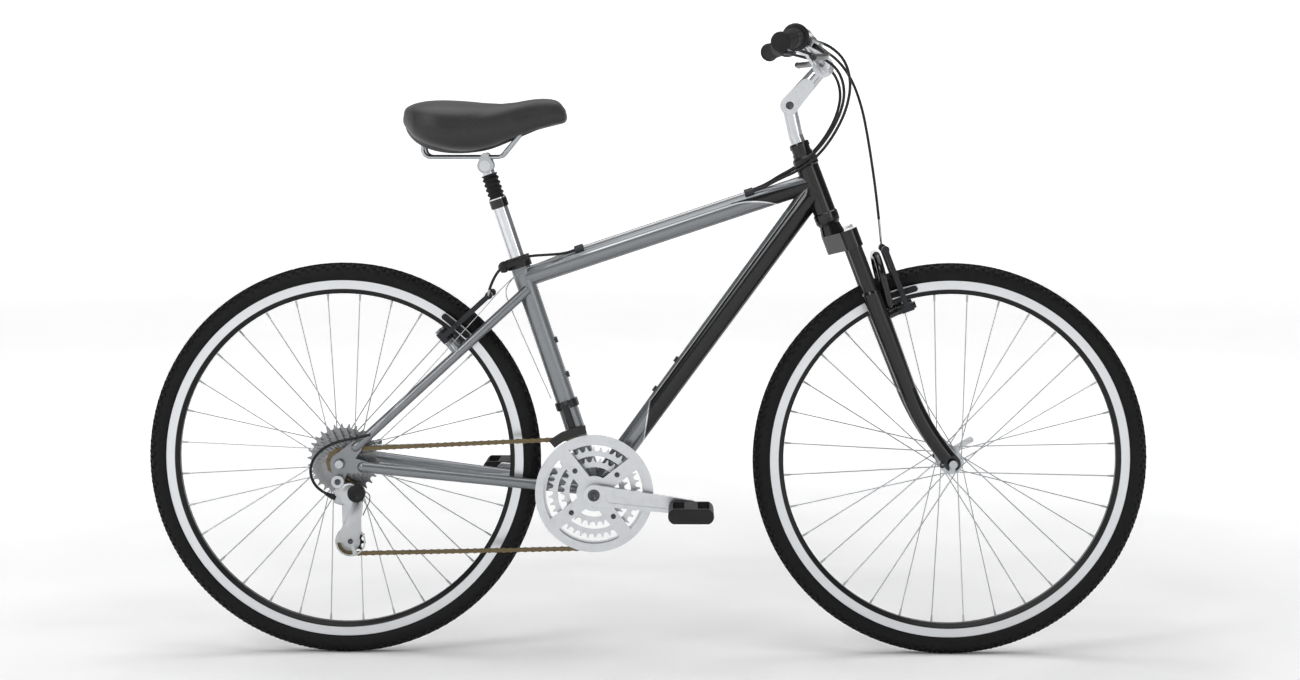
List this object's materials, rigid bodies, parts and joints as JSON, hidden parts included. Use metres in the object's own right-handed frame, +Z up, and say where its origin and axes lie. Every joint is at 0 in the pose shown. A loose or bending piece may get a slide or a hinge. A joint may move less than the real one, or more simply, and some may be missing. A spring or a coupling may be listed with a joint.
{
  "type": "hybrid bike",
  "caption": "Upright hybrid bicycle with a sloping diamond frame, telescopic fork, rim brakes, triple crank with chain guard and a sprung seatpost.",
  "frame": {"origin": "on the ground in the median plane, midway between the wheels' contact points", "axes": "+X forward, +Y to the rider's left, +Z up"},
  "size_m": [1.7569, 0.6166, 1.102],
  "materials": {
    "frame_silver": "satin metallic paint",
    "frame_black": "gloss paint",
    "fork_black": "gloss paint",
    "dark_steel": "dark plated",
    "polished_alloy": "polished",
    "hub_alloy": "satin",
    "steel": "plated",
    "chain_steel": "oiled",
    "tyre_rubber": "matte",
    "grip_rubber": "matte",
    "cable_plastic": "satin",
    "black_plastic": "textured",
    "saddle_cover": "fine grain",
    "lever_black": "satin"
  },
  "bodies": {
    "frame": {"head_tube": "frame_black", "top_tube": "frame_silver", "down_tube": "frame_black", "seat_tube": "frame_silver", "rear_frame": "frame_silver", "seat_stays": "frame_silver", "frame_fittings": "frame_silver", "bearing_cups": "dark_steel", "seat_clamp": "dark_steel", "front_derailleur": "dark_steel", "rear_derailleur_body": "hub_alloy", "chain": "chain_steel", "brake_cables": "cable_plastic", "shift_cables": "cable_plastic", "rear_axle": "steel"},
    "steerer": {"fork_crown": "fork_black", "fork_stanchions": "dark_steel"},
    "stem_post": {"stem_quill": "polished_alloy"},
    "cockpit": {"stem_arm": "polished_alloy", "handlebar": "polished_alloy", "grips": "grip_rubber", "lever_brackets": "polished_alloy"},
    "lever_left": {"brake_lever_left": "lever_black"},
    "lever_right": {"brake_lever_right": "lever_black"},
    "twist_left": {"twist_sleeve_left": "grip_rubber"},
    "twist_right": {"twist_sleeve_right": "grip_rubber"},
    "fork_sliders": {"fork_lowers": "fork_black", "front_axle": "steel"},
    "front_wheel": {"front_tyre": "tyre_rubber", "front_rim": "hub_alloy", "front_spokes": "steel", "front_hub": "hub_alloy"},
    "front_release": {"front_skewer_lever": "polished_alloy"},
    "front_arm_left": {"front_brake_arm_left": "dark_steel"},
    "front_arm_right": {"front_brake_arm_right": "dark_steel"},
    "rear_arm_left": {"rear_brake_arm_left": "dark_steel"},
    "rear_arm_right": {"rear_brake_arm_right": "dark_steel"},
    "rear_wheel": {"rear_tyre": "tyre_rubber", "rear_rim": "hub_alloy", "rear_spokes": "steel", "rear_hub": "hub_alloy"},
    "rear_release": {"rear_skewer_lever": "polished_alloy"},
    "sprockets": {"cassette": "steel"},
    "crankset": {"chainrings": "steel", "chain_guard": "polished_alloy", "crank_arm_right": "polished_alloy", "crank_arm_left": "polished_alloy", "crank_spindles": "steel"},
    "right_pedal": {"pedal_right": "black_plastic"},
    "left_pedal": {"pedal_left": "black_plastic"},
    "cage": {"derailleur_cage": "hub_alloy"},
    "guide_wheel": {"guide_pulley": "black_plastic"},
    "tension_wheel": {"tension_pulley": "black_plastic"},
    "seatpost": {"seatpost_lower": "polished_alloy", "seatpost_boot": "grip_rubber"},
    "sprung_post": {"seatpost_upper": "polished_alloy"},
    "saddle": {"saddle_rails": "steel", "saddle_base": "black_plastic", "saddle_cushion": "saddle_cover"},
    "post_release": {"seat_clamp_lever": "dark_steel"}
  },
  "joints": [
    {"name": "steering", "type": "hinge", "parent": "frame", "child": "steerer", "pos_m": [0.48489, 0, 0.32772], "axis": [-0.3584, 0, 0.9336], "range_deg": [-60, 60], "deforming": ["brake_cables", "shift_cables"]},
    {"name": "stem_height", "type": "slide", "parent": "steerer", "child": "stem_post", "axis": [-0.3584, 0, 0.9336], "range_m": [0, 0.04]},
    {"name": "stem_angle", "type": "hinge", "parent": "stem_post", "child": "cockpit", "pos_m": [0.24831, 0, 0.96636], "axis": [0, 1, 0], "range_deg": [-30, 20]},
    {"name": "left_lever", "type": "hinge", "parent": "cockpit", "child": "lever_left", "pos_m": [0.28763, 0.16993, 1.06318], "axis": [0.4448, 0.2002, 0.873], "range_deg": [0, 14], "stiffness_Nm_per_rad": 2, "springref_deg": -11.46},
    {"name": "right_lever", "type": "hinge", "parent": "cockpit", "child": "lever_right", "pos_m": [0.28763, -0.16993, 1.06318], "axis": [-0.4448, 0.2002, -0.873], "range_deg": [0, 14], "stiffness_Nm_per_rad": 2, "springref_deg": -11.46},
    {"name": "left_twist", "type": "hinge", "parent": "cockpit", "child": "twist_left", "pos_m": [0.22204, 0.3, 1.06677], "axis": [0.2449, -0.9647, 0.0965], "range_deg": [-70, 0]},
    {"name": "right_twist", "type": "hinge", "parent": "cockpit", "child": "twist_right", "pos_m": [0.22204, -0.3, 1.06677], "axis": [0.2449, 0.9647, 0.0965], "range_deg": [0, 100]},
    {"name": "fork_travel", "type": "slide", "parent": "steerer", "child": "fork_sliders", "axis": [-0.3584, 0, 0.9336], "range_m": [0, 0.05], "stiffness_N_per_m": 9000, "springref_m": -0.012},
    {"name": "front_wheel_spin", "type": "hinge", "parent": "fork_sliders", "child": "front_wheel", "pos_m": [0.5325, 0, 0.346], "axis": [0, 1, 0], "continuous": true},
    {"name": "front_release_lever", "type": "hinge", "parent": "fork_sliders", "child": "front_release", "pos_m": [0.5325, 0.07135, 0.346], "axis": [-0.5, 0, 0.866], "range_deg": [0, 120]},
    {"name": "front_left_brake", "type": "hinge", "parent": "fork_sliders", "child": "front_arm_left", "pos_m": [0.45304, 0.04, 0.61718], "axis": [0.9336, 0, 0.3584], "range_deg": [0, 3.2]},
    {"name": "front_right_brake", "type": "hinge", "parent": "fork_sliders", "child": "front_arm_right", "pos_m": [0.45304, -0.04, 0.61718], "axis": [-0.9336, 0, -0.3584], "range_deg": [0, 3.2]},
    {"name": "rear_left_brake", "type": "hinge", "parent": "frame", "child": "rear_arm_left", "pos_m": [-0.35333, 0.04, 0.56473], "axis": [0.6751, 0, -0.7378], "range_deg": [0, 3.2]},
    {"name": "rear_right_brake", "type": "hinge", "parent": "frame", "child": "rear_arm_right", "pos_m": [-0.35333, -0.04, 0.56473], "axis": [-0.6751, 0, 0.7378], "range_deg": [0, 3.2]},
    {"name": "rear_wheel_spin", "type": "hinge", "parent": "frame", "child": "rear_wheel", "pos_m": [-0.5325, 0, 0.346], "axis": [0, 1, 0], "continuous": true},
    {"name": "rear_release_lever", "type": "hinge", "parent": "frame", "child": "rear_release", "pos_m": [-0.5325, 0.0856, 0.346], "axis": [-0.342, 0, 0.9397], "range_deg": [0, 120]},
    {"name": "crank_spin", "type": "hinge", "parent": "frame", "child": "crankset", "pos_m": [-0.0905, 0, 0.293], "axis": [0, 1, 0], "continuous": true, "deforming": ["chain"]},
    {"name": "sprocket_spin", "type": "hinge", "parent": "frame", "child": "sprockets", "pos_m": [-0.5325, 0, 0.346], "axis": [0, 1, 0], "continuous": true},
    {"name": "right_pedal_spin", "type": "hinge", "parent": "crankset", "child": "right_pedal", "pos_m": [0.07816, 0, 0.27169], "axis": [0, 1, 0], "continuous": true},
    {"name": "left_pedal_spin", "type": "hinge", "parent": "crankset", "child": "left_pedal", "pos_m": [-0.25916, 0, 0.31431], "axis": [0, 1, 0], "continuous": true},
    {"name": "cage_swing", "type": "hinge", "parent": "frame", "child": "cage", "pos_m": [-0.5185, -0.058, 0.288], "axis": [0, 1, 0], "range_deg": [-30, 25], "stiffness_Nm_per_rad": 0.6},
    {"name": "guide_spin", "type": "hinge", "parent": "cage", "child": "guide_wheel", "pos_m": [-0.5185, -0.058, 0.288], "axis": [0, 1, 0], "continuous": true},
    {"name": "tension_spin", "type": "hinge", "parent": "cage", "child": "tension_wheel", "pos_m": [-0.51636, -0.058, 0.20803], "axis": [0, 1, 0], "continuous": true},
    {"name": "seat_height", "type": "slide", "parent": "frame", "child": "seatpost", "axis": [-0.3173, 0, 0.9483], "range_m": [-0.08, 0.06]},
    {"name": "seat_suspension", "type": "slide", "parent": "seatpost", "child": "sprung_post", "axis": [-0.3173, 0, 0.9483], "range_m": [-0.038, 0], "stiffness_N_per_m": 15000, "springref_m": 0.01, "deforming": ["seatpost_boot"]},
    {"name": "saddle_tilt", "type": "hinge", "parent": "sprung_post", "child": "saddle", "pos_m": [-0.28088, 0, 0.86199], "axis": [0, 1, 0], "range_deg": [-12, 12]},
    {"name": "post_release_lever", "type": "hinge", "parent": "frame", "child": "post_release", "pos_m": [-0.25001, -0.0284, 0.68463], "axis": [0.4226, 0, -0.9063], "range_deg": [0, 110]}
  ],
  "couplings": [
    {"joint": "front_left_brake", "follows": "left_lever", "ratio": 0.228},
    {"joint": "front_right_brake", "follows": "left_lever", "ratio": 0.228},
    {"joint": "rear_left_brake", "follows": "right_lever", "ratio": 0.228},
    {"joint": "rear_right_brake", "follows": "right_lever", "ratio": 0.228},
    {"joint": "sprocket_spin", "follows": "crank_spin", "ratio": 4.3636},
    {"joint": "guide_spin", "follows": "crank_spin", "ratio": -4.3636},
    {"joint": "tension_spin", "follows": "crank_spin", "ratio": 4.3636}
  ]
}
